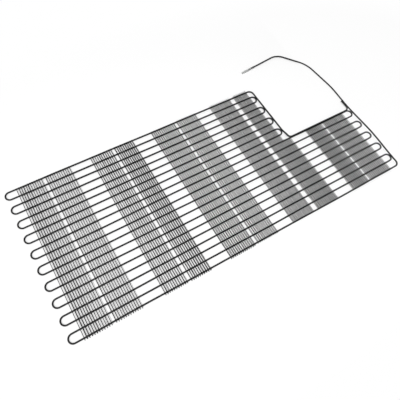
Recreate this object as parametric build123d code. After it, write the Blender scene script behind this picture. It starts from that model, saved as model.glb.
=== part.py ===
from build123d import *
import os
from collections import namedtuple
from math import radians, tan

# A wire-on-tube condenser panel, lying flat on its rear wires. All sizes are in millimetres.
# It is drawn with x = 0 at the first wire, y = 0 at the first tube run and z = 0 at the surface
# that it lies on, and then moved so that the origin is at the bottom centre of its box.
# The round tube and wires repeat so often that their sections are polygons, with flats that touch.

# Tube
tube_od = 4.76
tube_sides = 8
tube_wall = 0.7
end_bore_depth = 25.0

# Serpentine
run_pitch = 25.0
run_count = 20
short_run_count = 9
bend_reach = 35.5
notch_bend_reach = 18.7
pipe_gap = 0.3

# Pipe from the first run: down beside the notch, up onto the wires and along the notch to its end
corner_radius = 15.0
notch_corner_radius = 12.0
ramp_length = 22.0
ramp_radius = 14.0
stub_setback = 8.7
stub_corner_radius = 13.0
stub_length = 27.0

# Pipe from the last run: up the side with a slight outward bow, and on as the free pipe.
# Each corner is a distance outward from the side pipe, a height above the first run and a radius.
Corner = namedtuple("Corner", "out up radius")
side_corners = [
    Corner(0.0, -437.0, 700.0),
    Corner(6.5, -335.0, 600.0),
    Corner(0.3, -216.0, 600.0),
    Corner(4.8, -118.0, 300.0),
    Corner(-10.5, 10.5, 100.0),
    Corner(-85.4, 98.5, 50.0),
]
free_end = Corner(-225.6, 83.3, 0.0)

# Wires, welded across both faces of the runs in bands
wire_d = 1.6
wire_sides = 6
wire_pitch = 6.65
wire_overhang = 3.6

# Each band is a step from the wire before it, its full wires, the wires that stop at the notch,
# and how far its wires sit towards the first run
Band = namedtuple("Band", "step full short slide")
pair_step = 13.0
clip_step = 68.0
bands = [
    Band(0.0, 12, 0, -2.4),
    Band(pair_step, 12, 0, -2.0),
    Band(clip_step, 11, 0, -1.8),
    Band(pair_step, 10, 0, -2.2),
    Band(clip_step, 13, 0, -2.4),
    Band(pair_step, 11, 0, -0.8),
    Band(62.0, 12, 0, 1.4),
    Band(21.0, 8, 4, 3.0),
    Band(clip_step, 0, 10, 0.0),
    Band(pair_step, 0, 13, 0.4),
]

# Transit cap, pushed over the free end
cap_clearance = 0.12
cap_wall = 1.1
cap_overlap = 33.0
cap_empty = 22.0
cap_lip = 0.2
cap_lip_length = 3.0
cap_tip_length = 2.0
cap_tip_taper = 1.0

# Heights and places that follow from the sizes above
tube_z = wire_d + tube_od / 2
front_wire_z = wire_d + tube_od + wire_d / 2
crossing_z = 2 * wire_d + 1.5 * tube_od
last_run_y = -(run_count - 1) * run_pitch
notch_run_y = -short_run_count * run_pitch
side_step = tube_od + pipe_gap
round_end_length = cap_overlap + cap_lip_length


def wire_rows():
    """For each band, its wires as (x, top y, bottom y)."""
    rows = []
    x = -wire_pitch
    for band in bands:
        x += band.step - wire_pitch if rows else 0.0
        row = []
        for number in range(band.full + band.short):
            x += wire_pitch
            top = wire_overhang + band.slide
            if number >= band.full:
                top = notch_run_y + tube_od / 2
            row.append((x, top, last_run_y - wire_overhang + band.slide))
        rows.append(row)
    return rows


rows = wire_rows()
last_x = rows[-1][-1][0]
last_full_x = max(x for row in rows for x, top, _ in row if top > 0)

left_bend_x = -bend_reach
right_bend_x = last_x + bend_reach
notch_bend_x = last_full_x + notch_bend_reach
notch_pipe_x = notch_bend_x + side_step
side_pipe_x = right_bend_x + side_step
stub_x = side_pipe_x - stub_setback


def serpentine_corners():
    """Corners of the runs and their return bends, from the first run to the last."""
    corners = []
    for run in range(run_count - 1):
        if run % 2 == 0:
            bend_x = left_bend_x
        elif run < short_run_count:
            bend_x = notch_bend_x
        else:
            bend_x = right_bend_x
        for y in (-run * run_pitch, -(run + 1) * run_pitch):
            corners.append((bend_x, y, tube_z, run_pitch / 2))
    return corners


def notch_pipe_corners():
    """Corners from the open stub, over the front wires, to the start of the first run."""
    stub_end_y = notch_run_y + stub_corner_radius + stub_length
    ramp_top_y = notch_run_y + notch_corner_radius + ramp_radius / 4
    return [
        (stub_x, stub_end_y, crossing_z, 0.0),
        (stub_x, notch_run_y, crossing_z, stub_corner_radius),
        (notch_pipe_x, notch_run_y, crossing_z, notch_corner_radius),
        (notch_pipe_x, ramp_top_y, crossing_z, ramp_radius),
        (notch_pipe_x, ramp_top_y + ramp_length, tube_z, ramp_radius),
        (notch_pipe_x, 0.0, tube_z, corner_radius),
    ]


def side_pipe_corners():
    """Corners from the end of the last run, up the side, to the capped end."""
    corners = [(side_pipe_x, last_run_y, tube_z, corner_radius)]
    for corner in side_corners + [free_end]:
        corners.append((side_pipe_x + corner.out, corner.up, tube_z, corner.radius))
    return corners


def pipe_ends(corners):
    """Planes across the open stub and the capped end, both facing out of the tube."""
    points = [Vector(x, y, z) for x, y, z, _ in corners]
    return (
        Plane(points[0], z_dir=points[0] - points[1]),
        Plane(points[-1], z_dir=points[-1] - points[-2]),
    )


def flat_polygon(across, sides):
    """A regular polygon with a flat at its top and its bottom."""
    return RegularPolygon(across / 2, sides, major_radius=False, rotation=90 + 180 / sides)


def bent_tube(points, radii):
    """Straight lengths and tangent bends along a path, one solid each."""
    solids = []
    here = points[0]
    heading = (points[1] - here).normalized()
    for point, radius, following in zip(points[1:], radii[1:], points[2:] + [None]):
        setback = 0.0
        if following:
            turned = (following - point).normalized()
            turn = heading.get_angle(turned)
            setback = radius * tan(radians(turn) / 2)
        bend_start = point - heading * setback
        across = heading.cross(Vector(0, 0, 1))
        section = flat_polygon(tube_od, tube_sides)
        length = (bend_start - here).length
        if length > 0.001:
            solids.append(extrude(Plane(here, x_dir=across, z_dir=heading) * section, length))
        if following:
            normal = heading.cross(turned).normalized()
            centre = bend_start + normal.cross(heading) * radius
            profile = Plane(bend_start, x_dir=across, z_dir=heading) * section
            solids.append(revolve(profile, Axis(centre, normal), turn))
            here = point + turned * setback
            heading = turned
    return solids


def tube_coil(corners):
    """The whole tube in one piece, round and bored at its two ends."""
    open_end, capped_end = pipe_ends(corners)
    points = [Vector(x, y, z) for x, y, z, _ in corners]
    points[0] = open_end.offset(-stub_length).origin
    points[-1] = capped_end.offset(-round_end_length).origin
    tube = Part() + bent_tube(points, [radius for _, _, _, radius in corners])
    for end, length in ((open_end, stub_length), (capped_end, round_end_length)):
        tube += extrude(end * Circle(tube_od / 2), -length)
        tube -= extrude(end * Circle(tube_od / 2 - tube_wall), -end_bore_depth)
    return tube


def wire_band(row, z):
    """The wires of one band on one face, as separate straight bars."""
    wires = []
    for x, top, bottom in row:
        end = Plane((x, top, z), x_dir=(1, 0, 0), z_dir=(0, -1, 0))
        wires.append(extrude(end * flat_polygon(wire_d, wire_sides), top - bottom))
    return Compound([wire.solid() for wire in wires])


def transit_cap(end):
    """A closed sleeve with a small lip at its mouth, pushed over the end of the tube."""
    bore = tube_od / 2 + cap_clearance
    outer = bore + cap_wall
    outline = Polyline(
        (bore, -cap_overlap),
        (outer + cap_lip, -cap_overlap),
        (outer + cap_lip, cap_lip_length - cap_overlap),
        (outer, cap_lip_length - cap_overlap),
        (outer, cap_empty - cap_tip_length),
        (outer - cap_tip_taper, cap_empty),
        (0, cap_empty),
        (0, cap_empty - cap_wall),
        (bore, cap_empty - cap_wall),
        close=True,
    )
    return end * revolve(make_face(Plane.XZ * outline), Axis.Z)


pipe_corners = notch_pipe_corners() + serpentine_corners() + side_pipe_corners()
nodes = {
    "tube_coil": tube_coil(pipe_corners),
    "transit_cap": transit_cap(pipe_ends(pipe_corners)[1]),
}
for number, row in enumerate(rows, start=1):
    nodes[f"front_wires_{number:02d}"] = wire_band(row, front_wire_z)
    nodes[f"rear_wires_{number:02d}"] = wire_band(row, wire_d / 2)

box = Compound(list(nodes.values())).bounding_box()
to_origin = Pos(-box.center().X, -box.center().Y, -box.min.Z)

os.makedirs("parts", exist_ok=True)
for name, shape in nodes.items():
    export_step(to_origin * shape, f"parts/{name}.step")

print("side pipe x", round(side_pipe_x, 2))
print("box", [round(v, 2) for v in (box.size.X, box.size.Y, box.size.Z)])
print("origin offset", [round(v, 3) for v in (box.center().X, box.center().Y, box.min.Z)])
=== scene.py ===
import random
from math import atan2, ceil, cos, pi, radians, sin, tan

import bmesh
import bpy
from mathutils import Matrix, Quaternion, Vector, noise


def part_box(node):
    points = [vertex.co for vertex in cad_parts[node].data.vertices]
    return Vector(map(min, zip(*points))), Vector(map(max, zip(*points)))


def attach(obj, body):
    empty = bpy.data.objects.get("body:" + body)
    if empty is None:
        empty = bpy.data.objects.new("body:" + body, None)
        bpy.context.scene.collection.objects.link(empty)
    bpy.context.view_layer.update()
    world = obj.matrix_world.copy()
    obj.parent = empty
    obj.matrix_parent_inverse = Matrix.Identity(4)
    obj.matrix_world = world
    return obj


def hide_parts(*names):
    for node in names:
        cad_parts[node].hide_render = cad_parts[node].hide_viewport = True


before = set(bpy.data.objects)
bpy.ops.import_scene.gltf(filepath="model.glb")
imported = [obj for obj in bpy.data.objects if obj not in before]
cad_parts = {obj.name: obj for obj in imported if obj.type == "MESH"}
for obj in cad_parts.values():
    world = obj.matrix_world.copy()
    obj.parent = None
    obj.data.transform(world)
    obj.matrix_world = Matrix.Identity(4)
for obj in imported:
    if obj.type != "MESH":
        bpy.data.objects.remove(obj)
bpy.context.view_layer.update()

# Metres throughout. The panel lies on the floor at z = 0, with its front face up.
MM = 0.001

# Tube
TUBE_OD = 4.76 * MM
TUBE_WALL = 0.7 * MM
BORE_DEPTH = 25 * MM
RUN_PITCH = 25 * MM
RUN_COUNT = 20
SHORT_RUN_COUNT = 9
BEND_REACH = 35.5 * MM
NOTCH_BEND_REACH = 18.7 * MM
PIPE_GAP = 0.4 * MM
TUBE_RING = 20
RUN_STEP = 16 * MM
BEND_STEP = radians(9)
WIDE_BEND_STEP = 6 * MM
SHORTEST_STEP = 0.01 * MM
RUN_WANDER = 0.9 * MM

# Pipe from the first run, along the notch to the open stub
CORNER_RADIUS = 15 * MM
NOTCH_CORNER_RADIUS = 12 * MM
RAMP_LENGTH = 22 * MM
RAMP_RADIUS = 14 * MM
STUB_SETBACK = 8.7 * MM
STUB_CORNER_RADIUS = 13 * MM
STUB_LENGTH = 27 * MM

# Pipe from the last run: each corner is a distance outward from the side pipe, a height above the
# first run and a radius, and the last one is the free end
SIDE_CORNERS = [
    (0.0, -437.0, 700.0),
    (6.5, -335.0, 600.0),
    (0.3, -216.0, 600.0),
    (4.8, -118.0, 300.0),
    (-10.5, 10.5, 100.0),
    (-85.4, 98.5, 50.0),
    (-225.6, 83.3, 0.0),
]

# Wires and their welds
WIRE_D = 1.6 * MM
WIRE_RING = 8
WIRE_SINK = 0.18 * MM
WIRE_LEAN = 0.45 * MM
WIRE_BOW = 0.12 * MM
END_SCATTER = 0.6 * MM
WELD_LENGTH = 1.5 * MM
WELD_WIDTH = 1.25 * MM
WELD_DEPTH = 0.5 * MM

# Transit cap
CAP_CLEARANCE = 0.12 * MM
CAP_WALL = 1.1 * MM
CAP_OVERLAP = 33 * MM
CAP_EMPTY = 22 * MM
CAP_LIP = 0.2 * MM
CAP_LIP_LENGTH = 3 * MM
CAP_RING = 40

# Camera
CAMERA_AT = Vector((-0.4419, -0.5280, 1.1038))
CAMERA_AIM = Vector((-0.0779, -0.0896, 0.0040))
CAMERA_ROLL = radians(10.164)
CAMERA_LENS = 37.737
SENSOR_WIDTH = 36.0

# Light: an even key from the near left, and a large soft lamp over the left end
SKY_STRENGTH = 0.33
KEY_FROM = Vector((-0.43, -0.35, 1.0))
KEY_STRENGTH = 1.76
KEY_SPREAD = radians(14)
FILL_AT = Vector((-0.57, -0.86, 2.47))
FILL_POWER = 21.6
FILL_SIZE = 0.6
FLOOR_COLOUR = 0.98
# The floor glows beyond this ellipse round the panel, given by its half axes, and a part of that beyond
# the wires at both ends, where the glow is painted light that thins the shadows of the bends
GLOW_REACH = Vector((1.6, 0.84, 1.0))
END_GLOW = 0.6

random.seed(11)
UP = Vector((0, 0, 1))
tube_z = WIRE_D + TUBE_OD / 2
front_wire_z = WIRE_D + TUBE_OD + WIRE_D / 2
crossing_z = 2 * WIRE_D + 1.5 * TUBE_OD


def wires_in(node):
    """Each wire of a CAD node as (x, low y, high y), from left to right."""
    groups = []
    for vertex in sorted(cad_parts[node].data.vertices, key=lambda v: v.co.x):
        if not groups or vertex.co.x - groups[-1][0].x > 2 * WIRE_D:
            groups.append([])
        groups[-1].append(vertex.co)
    wires = []
    for group in groups:
        xs = [co.x for co in group]
        ys = [co.y for co in group]
        wires.append(((min(xs) + max(xs)) / 2, min(ys), max(ys)))
    return wires


bands = {name: wires_in(name) for name in sorted(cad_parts) if "wires" in name}
last_run_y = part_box("tube_coil")[0].y + TUBE_OD / 2
first_run_y = last_run_y + (RUN_COUNT - 1) * RUN_PITCH
notch_run_y = first_run_y - SHORT_RUN_COUNT * RUN_PITCH
all_wires = [wire for wires in bands.values() for wire in wires]
first_x = min(x for x, low, high in all_wires)
last_x = max(x for x, low, high in all_wires)
last_full_x = max(x for x, low, high in all_wires if high > first_run_y)
side_step = TUBE_OD + PIPE_GAP
left_bend_x = first_x - BEND_REACH
right_bend_x = last_x + BEND_REACH
notch_bend_x = last_full_x + NOTCH_BEND_REACH
notch_pipe_x = notch_bend_x + side_step
side_pipe_x = right_bend_x + side_step
stub_x = side_pipe_x - STUB_SETBACK


def route_corners():
    """Every corner of the tube as (point, radius), from the open stub to the capped end."""
    ramp_top_y = notch_run_y + NOTCH_CORNER_RADIUS + RAMP_RADIUS / 4
    corners = [
        ((stub_x, notch_run_y + STUB_CORNER_RADIUS + STUB_LENGTH, crossing_z), 0.0),
        ((stub_x, notch_run_y, crossing_z), STUB_CORNER_RADIUS),
        ((notch_pipe_x, notch_run_y, crossing_z), NOTCH_CORNER_RADIUS),
        ((notch_pipe_x, ramp_top_y, crossing_z), RAMP_RADIUS),
        ((notch_pipe_x, ramp_top_y + RAMP_LENGTH, tube_z), RAMP_RADIUS),
        ((notch_pipe_x, first_run_y, tube_z), CORNER_RADIUS),
    ]
    for run in range(RUN_COUNT - 1):
        if run % 2 == 0:
            bend_x = left_bend_x
        elif run < SHORT_RUN_COUNT:
            bend_x = notch_bend_x
        else:
            bend_x = right_bend_x
        for y in (first_run_y - run * RUN_PITCH, first_run_y - (run + 1) * RUN_PITCH):
            corners.append(((bend_x, y, tube_z), RUN_PITCH / 2))
    corners.append(((side_pipe_x, last_run_y, tube_z), CORNER_RADIUS))
    for out, up, radius in SIDE_CORNERS:
        corners.append(((side_pipe_x + out * MM, first_run_y + up * MM, tube_z), radius * MM))
    return [(Vector(point), radius) for point, radius in corners]


def follow(corners):
    """Points and headings along the bent route: even steps on its straights, finer ones on its bends."""
    stations = []
    here = corners[0][0]
    heading = (corners[1][0] - here).normalized()
    for index in range(1, len(corners)):
        point, radius = corners[index]
        setback = 0.0
        if radius > 0:
            turned = (corners[index + 1][0] - point).normalized()
            turn = heading.angle(turned)
            setback = radius * tan(turn / 2)
        stop = point - heading * setback
        straight = (stop - here).length
        if straight > SHORTEST_STEP:
            steps = ceil(straight / RUN_STEP)
            for step in range(steps):
                stations.append((here.lerp(stop, step / steps), heading))
        if radius == 0:
            stations.append((stop, heading))
            break
        axis = heading.cross(turned).normalized()
        centre = stop + axis.cross(heading) * radius
        steps = ceil(max(turn / BEND_STEP, turn * radius / WIDE_BEND_STEP))
        for step in range(steps):
            turned_by = Quaternion(axis, turn * step / steps)
            stations.append((centre + turned_by @ (stop - centre), turned_by @ heading))
        here = point + turned * setback
        heading = turned
    return stations


def wandered(point):
    """A tube run's small sideways drift, which fades out towards its bends and leaves pipes alone."""
    right = notch_bend_x if point.y > notch_run_y + RUN_PITCH / 2 else right_bend_x
    room = min(point.x - left_bend_x, right - point.x) - 2 * RUN_PITCH
    if room <= 0 or point.y > first_run_y + RUN_PITCH / 2 or point.z > tube_z + MM:
        return point
    fade = min(1.0, room / (4 * RUN_PITCH))
    run = round((point.y - last_run_y) / RUN_PITCH)
    drift = noise.noise(Vector((point.x * 4, run * 3.7, 0.5)))
    return point + Vector((0, drift * 2 * RUN_WANDER * fade, 0))


def add_ring(mesh, centre, heading, radius, count):
    """A ring of vertices across a path."""
    side = heading.cross(UP).normalized()
    over = side.cross(heading)
    ring = []
    for number in range(count):
        angle = 2 * pi * number / count
        ring.append(mesh.verts.new(centre + (side * cos(angle) + over * sin(angle)) * radius))
    return ring


def bridge(mesh, ring, following):
    """Faces between two rings of one size. They face outward where the second is further on."""
    count = len(ring)
    for number in range(count):
        after = (number + 1) % count
        mesh.faces.new((ring[number], following[number], following[after], ring[after]))


def finish_mesh(mesh, name, material, smooth=True):
    """Turns a bmesh into an object that rides with the panel."""
    data = bpy.data.meshes.new(name)
    mesh.to_mesh(data)
    mesh.free()
    for polygon in data.polygons:
        polygon.use_smooth = smooth
    data.materials.append(material)
    piece = bpy.data.objects.new(name, data)
    bpy.context.scene.collection.objects.link(piece)
    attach(piece, "root")
    return piece


def sharpen_edges(piece, angle):
    """Keeps the rims of a smooth piece crisp."""
    mesh = bmesh.new()
    mesh.from_mesh(piece.data)
    for edge in mesh.edges:
        if edge.is_manifold and edge.calc_face_angle() > angle:
            edge.smooth = False
    mesh.to_mesh(piece.data)
    mesh.free()


def make_tube(material):
    """The whole tube: its skin along the route, and a bore in each end."""
    stations = [(wandered(point), heading) for point, heading in follow(route_corners())]
    mesh = bmesh.new()
    outer = TUBE_OD / 2
    inner = outer - TUBE_WALL
    rings = [add_ring(mesh, point, heading, outer, TUBE_RING) for point, heading in stations]
    for ring, following in zip(rings, rings[1:]):
        bridge(mesh, ring, following)
    for place, ring, inward in ((stations[0], rings[0], 1), (stations[-1], rings[-1], -1)):
        point, heading = place
        mouth = add_ring(mesh, point, heading, inner, TUBE_RING)
        bottom = add_ring(mesh, point + heading * BORE_DEPTH * inward, heading, inner, TUBE_RING)
        wall = [bottom, mouth, ring][::inward]
        bridge(mesh, wall[0], wall[1])
        bridge(mesh, wall[1], wall[2])
        mesh.faces.new(bottom[::inward])
    tube = finish_mesh(mesh, "bent_tube", material)
    sharpen_edges(tube, radians(50))
    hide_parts("tube_coil")
    return stations


def add_weld(mesh, centre, towards_tube):
    """A small flattened nugget where a wire is fused to the tube."""
    ring_count = 8
    rims = []
    for height, spread in ((0.0, 1.0), (0.7, 0.7)):
        ring = []
        for number in range(ring_count):
            angle = 2 * pi * number / ring_count
            ring.append(mesh.verts.new(centre + Vector((
                cos(angle) * WELD_WIDTH * spread,
                sin(angle) * WELD_LENGTH * spread,
                -towards_tube * height * WELD_DEPTH,
            ))))
        rims.append(ring)
    lower, upper = rims[::-towards_tube]
    bridge(mesh, upper, lower)
    mesh.faces.new(upper)
    mesh.faces.new(lower[::-1])


def make_band(node, material):
    """One band of wires on one face, each wire pressed into the tube where it is welded."""
    front = node.startswith("front")
    z = front_wire_z if front else WIRE_D / 2
    towards_tube = -1 if front else 1
    mesh = bmesh.new()
    for x, low, high in bands[node]:
        start = low + random.uniform(-0.2, 1) * END_SCATTER
        end = high - random.uniform(-0.2, 1) * END_SCATTER
        lean = (random.uniform(-1, 1) * WIRE_LEAN, random.uniform(-1, 1) * WIRE_LEAN)
        crossings = [last_run_y + run * RUN_PITCH for run in range(RUN_COUNT)]
        crossings = [y for y in crossings if low - WIRE_D < y < high + WIRE_D]
        stops = [(start, 0.0)]
        for y, following in zip(crossings, crossings[1:] + [None]):
            stops += [(y - 0.1 * RUN_PITCH, 0.3), (y, 1.0), (y + 0.1 * RUN_PITCH, 0.3)]
            if following:
                stops.append(((y + following) / 2, 0.0))
        stops.append((end, 0.0))
        stops = [(min(max(y, start), end), sink) for y, sink in stops]
        previous = None
        for y, sink in sorted(set(stops)):
            along = (y - low) / (high - low)
            drift = lean[0] * (1 - along) + lean[1] * along
            drift += WIRE_BOW * noise.noise(Vector((x * 300, y * 25, 2.0 * front)))
            centre = Vector((x + drift, y, z + towards_tube * WIRE_SINK * sink))
            ring = add_ring(mesh, centre, Vector((0, 1, 0)), WIRE_D / 2, WIRE_RING)
            if previous:
                bridge(mesh, previous, ring)
            else:
                mesh.faces.new(ring)
            previous = ring
            if sink == 1.0:
                at_tube = Vector((centre.x, y, z + towards_tube * (WIRE_D / 2 - WIRE_SINK)))
                add_weld(mesh, at_tube, towards_tube)
        mesh.faces.new(previous[::-1])
    piece = finish_mesh(mesh, node.replace("wires", "welded_wires"), material)
    sharpen_edges(piece, radians(60))
    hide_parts(node)
    return piece


def make_cap(end, heading, material):
    """The moulded sleeve over the free end, with a rounded tip and a rolled lip."""
    bore = TUBE_OD / 2 + CAP_CLEARANCE
    outer = bore + CAP_WALL
    lip = outer + CAP_LIP
    tip = CAP_EMPTY
    mouth = -CAP_OVERLAP
    profile = [(tip - CAP_WALL, 0.0), (tip - CAP_WALL, 0.6 * bore), (tip - 1.6 * CAP_WALL, bore)]
    profile += [(mouth + 0.3 * MM, bore), (mouth, bore + 0.3 * MM), (mouth, lip - 0.3 * MM)]
    profile += [(mouth + 0.3 * MM, lip), (mouth + CAP_LIP_LENGTH - 0.3 * MM, lip)]
    profile += [(mouth + CAP_LIP_LENGTH, outer), (tip - outer * 0.6, outer)]
    for step in range(1, 6):
        angle = step * pi / 12
        profile.append((tip - outer * 0.6 * (1 - sin(angle)), outer * (0.45 + 0.55 * cos(angle))))
    profile.append((tip, 0.45 * outer))
    profile.append((tip, 0.0))
    mesh = bmesh.new()
    towards_tip = mesh.verts.layers.float.new("towards_tip")
    previous = None
    for along, radius in profile:
        centre = end + heading * along
        if radius == 0:
            tip_vertex = mesh.verts.new(centre)
            if previous:
                for number in range(CAP_RING):
                    mesh.faces.new((previous[(number + 1) % CAP_RING], previous[number], tip_vertex))
            previous = tip_vertex
            continue
        ring = add_ring(mesh, centre, heading, radius, CAP_RING)
        if isinstance(previous, list):
            bridge(mesh, previous, ring)
        else:
            for number in range(CAP_RING):
                mesh.faces.new((ring[number], ring[(number + 1) % CAP_RING], previous))
        previous = ring
    for vertex in mesh.verts:
        vertex[towards_tip] = ((vertex.co - end).dot(heading) - mouth) / (tip - mouth)
    cap = finish_mesh(mesh, "soft_cap", material)
    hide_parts("transit_cap")
    return cap


def new_material(name):
    """A node material, with its node tree and its main shader."""
    material = bpy.data.materials.new(name)
    material.use_nodes = True
    tree = material.node_tree
    return material, tree, tree.nodes["Principled BSDF"]


def add_noise(tree, scale, detail=3.0):
    """Noise over the object's own space."""
    coordinates = tree.nodes.new("ShaderNodeTexCoord")
    texture = tree.nodes.new("ShaderNodeTexNoise")
    texture.inputs["Scale"].default_value = scale
    texture.inputs["Detail"].default_value = detail
    tree.links.new(coordinates.outputs["Object"], texture.inputs["Vector"])
    return texture.outputs["Fac"]


def add_ramp(tree, factor, stops):
    """A colour ramp with the given (position, colour) stops."""
    ramp = tree.nodes.new("ShaderNodeValToRGB")
    elements = ramp.color_ramp.elements
    while len(elements) < len(stops):
        elements.new(0.5)
    for element, (position, colour) in zip(elements, stops):
        element.position = position
        element.color = (*colour, 1)
    tree.links.new(factor, ramp.inputs["Fac"])
    return ramp.outputs["Color"]


def black_paint(name, base, sheen):
    """Dipped black enamel: slightly uneven in tone and gloss, with a fine orange peel."""
    material, tree, shader = new_material(name)
    dark = tuple(base * 0.7 for _ in range(3))
    light = (base * 1.5, base * 1.5, base * 1.6)
    colour = add_ramp(tree, add_noise(tree, 38), [(0.35, dark), (0.7, light)])
    tree.links.new(colour, shader.inputs["Base Color"])
    spread = tree.nodes.new("ShaderNodeMapRange")
    spread.inputs["To Min"].default_value = sheen - 0.08
    spread.inputs["To Max"].default_value = sheen + 0.12
    tree.links.new(add_noise(tree, 150), spread.inputs["Value"])
    tree.links.new(spread.outputs["Result"], shader.inputs["Roughness"])
    bump = tree.nodes.new("ShaderNodeBump")
    bump.inputs["Strength"].default_value = 0.25
    bump.inputs["Distance"].default_value = 0.05 * MM
    tree.links.new(add_noise(tree, 2200, 1.0), bump.inputs["Height"])
    tree.links.new(bump.outputs["Normal"], shader.inputs["Normal"])
    shader.inputs["Specular IOR Level"].default_value = 0.2
    return material


def cap_plastic():
    """Soft polyethylene, clear where it is stretched over the tube and milky towards its tip."""
    material, tree, shader = new_material("cap_plastic")
    colour = add_ramp(tree, add_noise(tree, 60), [(0.3, (0.6, 0.61, 0.6)), (0.7, (0.7, 0.71, 0.7))])
    tree.links.new(colour, shader.inputs["Base Color"])
    along = tree.nodes.new("ShaderNodeAttribute")
    along.attribute_name = "towards_tip"
    clarity = tree.nodes.new("ShaderNodeMapRange")
    clarity.inputs["From Min"].default_value = 0.2
    clarity.inputs["From Max"].default_value = 0.7
    clarity.inputs["To Min"].default_value = 1.0
    clarity.inputs["To Max"].default_value = 0.5
    tree.links.new(along.outputs["Fac"], clarity.inputs["Value"])
    tree.links.new(clarity.outputs["Result"], shader.inputs["Transmission Weight"])
    haze = tree.nodes.new("ShaderNodeMapRange")
    haze.inputs["To Min"].default_value = 0.12
    haze.inputs["To Max"].default_value = 0.4
    tree.links.new(along.outputs["Fac"], haze.inputs["Value"])
    tree.links.new(haze.outputs["Result"], shader.inputs["Roughness"])
    shader.inputs["IOR"].default_value = 1.5
    return material


def seen_directly(tree):
    """1 for what the camera sees, in reflections and through plastic too, and 0 for lighting."""
    path = tree.nodes.new("ShaderNodeLightPath")
    seen = path.outputs["Is Camera Ray"]
    for kind in ("Is Glossy Ray", "Is Transmission Ray"):
        either = tree.nodes.new("ShaderNodeMath")
        either.operation = "MAXIMUM"
        tree.links.new(seen, either.inputs[0])
        tree.links.new(path.outputs[kind], either.inputs[1])
        seen = either.outputs["Value"]
    return seen


def white_floor():
    """White paper, which glows for the camera and in reflections well outside the panel, and partly
    beyond the wires at both ends as painted light over the bends' shadows.
    """
    material, tree, shader = new_material("studio_floor")
    shader.inputs["Base Color"].default_value = (FLOOR_COLOUR, FLOOR_COLOUR, FLOOR_COLOUR, 1)
    shader.inputs["Roughness"].default_value = 0.9
    shader.inputs["Specular IOR Level"].default_value = 0.0
    coordinates = tree.nodes.new("ShaderNodeTexCoord")
    stretch = tree.nodes.new("ShaderNodeVectorMath")
    stretch.operation = "DIVIDE"
    stretch.inputs[1].default_value = GLOW_REACH
    tree.links.new(coordinates.outputs["Object"], stretch.inputs[0])
    inward = tree.nodes.new("ShaderNodeTexGradient")
    inward.gradient_type = "SPHERICAL"
    tree.links.new(stretch.outputs["Vector"], inward.inputs["Vector"])
    outside = tree.nodes.new("ShaderNodeMapRange")
    outside.inputs["From Min"].default_value = 0.5
    outside.inputs["From Max"].default_value = 0.2
    tree.links.new(inward.outputs["Fac"], outside.inputs["Value"])
    split = tree.nodes.new("ShaderNodeSeparateXYZ")
    tree.links.new(coordinates.outputs["Object"], split.inputs["Vector"])
    from_middle = tree.nodes.new("ShaderNodeMath")
    from_middle.operation = "ABSOLUTE"
    tree.links.new(split.outputs["X"], from_middle.inputs[0])
    # Painted light: beyond the wires at both ends the floor glows for the camera, which lightens the
    # bends' shadows there
    painted_light_at_ends = tree.nodes.new("ShaderNodeMapRange")
    painted_light_at_ends.inputs["From Min"].default_value = last_x + 2 * MM
    painted_light_at_ends.inputs["From Max"].default_value = last_x + 12 * MM
    painted_light_at_ends.inputs["To Max"].default_value = END_GLOW
    tree.links.new(from_middle.outputs["Value"], painted_light_at_ends.inputs["Value"])
    glow = tree.nodes.new("ShaderNodeMath")
    glow.operation = "MAXIMUM"
    tree.links.new(outside.outputs["Result"], glow.inputs[0])
    tree.links.new(painted_light_at_ends.outputs["Result"], glow.inputs[1])
    share = tree.nodes.new("ShaderNodeMath")
    share.operation = "MULTIPLY"
    tree.links.new(seen_directly(tree), share.inputs[0])
    tree.links.new(glow.outputs["Value"], share.inputs[1])
    white = tree.nodes.new("ShaderNodeEmission")
    white.inputs["Color"].default_value = (1, 1, 1, 1)
    white.inputs["Strength"].default_value = 1.0
    mix = tree.nodes.new("ShaderNodeMixShader")
    tree.links.new(share.outputs["Value"], mix.inputs["Fac"])
    tree.links.new(shader.outputs["BSDF"], mix.inputs[1])
    tree.links.new(white.outputs["Emission"], mix.inputs[2])
    tree.links.new(mix.outputs["Shader"], tree.nodes["Material Output"].inputs["Surface"])
    return material


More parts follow.
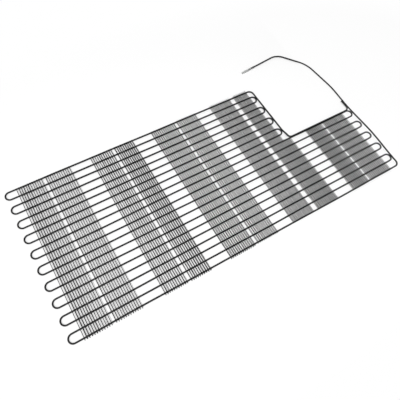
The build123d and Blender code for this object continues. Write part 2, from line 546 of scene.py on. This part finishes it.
def make_floor():
    """A plain floor under the panel."""
    mesh = bmesh.new()
    bmesh.ops.create_grid(mesh, x_segments=1, y_segments=1, size=4)
    data = bpy.data.meshes.new("floor")
    mesh.to_mesh(data)
    mesh.free()
    data.materials.append(white_floor())
    floor = bpy.data.objects.new("floor", data)
    floor.location.z = -0.2 * MM
    bpy.context.scene.collection.objects.link(floor)


def add_lamp(name, kind, place, towards, strength):
    """A lamp that shines from its place towards a point."""
    lamp = bpy.data.lights.new(name, kind)
    lamp.energy = strength
    light = bpy.data.objects.new(name, lamp)
    light.location = place
    light.rotation_euler = (towards - place).to_track_quat("-Z", "Y").to_euler()
    bpy.context.scene.collection.objects.link(light)
    return lamp


def make_studio():
    """White surroundings, soft lamps from the near left and a plain view transform."""
    world = bpy.data.worlds.new("studio")
    world.use_nodes = True
    background = world.node_tree.nodes["Background"]
    background.inputs["Color"].default_value = (1, 1, 1, 1)
    strength = world.node_tree.nodes.new("ShaderNodeMapRange")
    strength.inputs["To Min"].default_value = SKY_STRENGTH
    world.node_tree.links.new(seen_directly(world.node_tree), strength.inputs["Value"])
    world.node_tree.links.new(strength.outputs["Result"], background.inputs["Strength"])
    bpy.context.scene.world = world
    add_lamp("key", "SUN", KEY_FROM, Vector(), KEY_STRENGTH).angle = KEY_SPREAD
    straight_down = Vector((FILL_AT.x, FILL_AT.y, 0))
    add_lamp("fill", "AREA", FILL_AT, straight_down, FILL_POWER).size = FILL_SIZE
    bpy.context.scene.view_settings.view_transform = "Standard"


def make_camera():
    """The photograph's point of view, slightly rolled."""
    data = bpy.data.cameras.new("camera")
    data.lens = CAMERA_LENS
    data.sensor_width = SENSOR_WIDTH
    camera = bpy.data.objects.new("camera", data)
    aim = (CAMERA_AIM - CAMERA_AT).to_track_quat("-Z", "Y")
    turned = aim @ Quaternion((0, 0, 1), CAMERA_ROLL)
    camera.matrix_world = Matrix.Translation(CAMERA_AT) @ turned.to_matrix().to_4x4()
    bpy.context.scene.collection.objects.link(camera)
    bpy.context.scene.camera = camera


route = make_tube(black_paint("tube_enamel", 0.007, 0.45))
wire_paint = black_paint("wire_enamel", 0.008, 0.5)
for node_name in bands:
    make_band(node_name, wire_paint)
make_cap(route[-1][0], route[-1][1], cap_plastic())
make_floor()
make_studio()
make_camera()

bpy.context.view_layer.update()
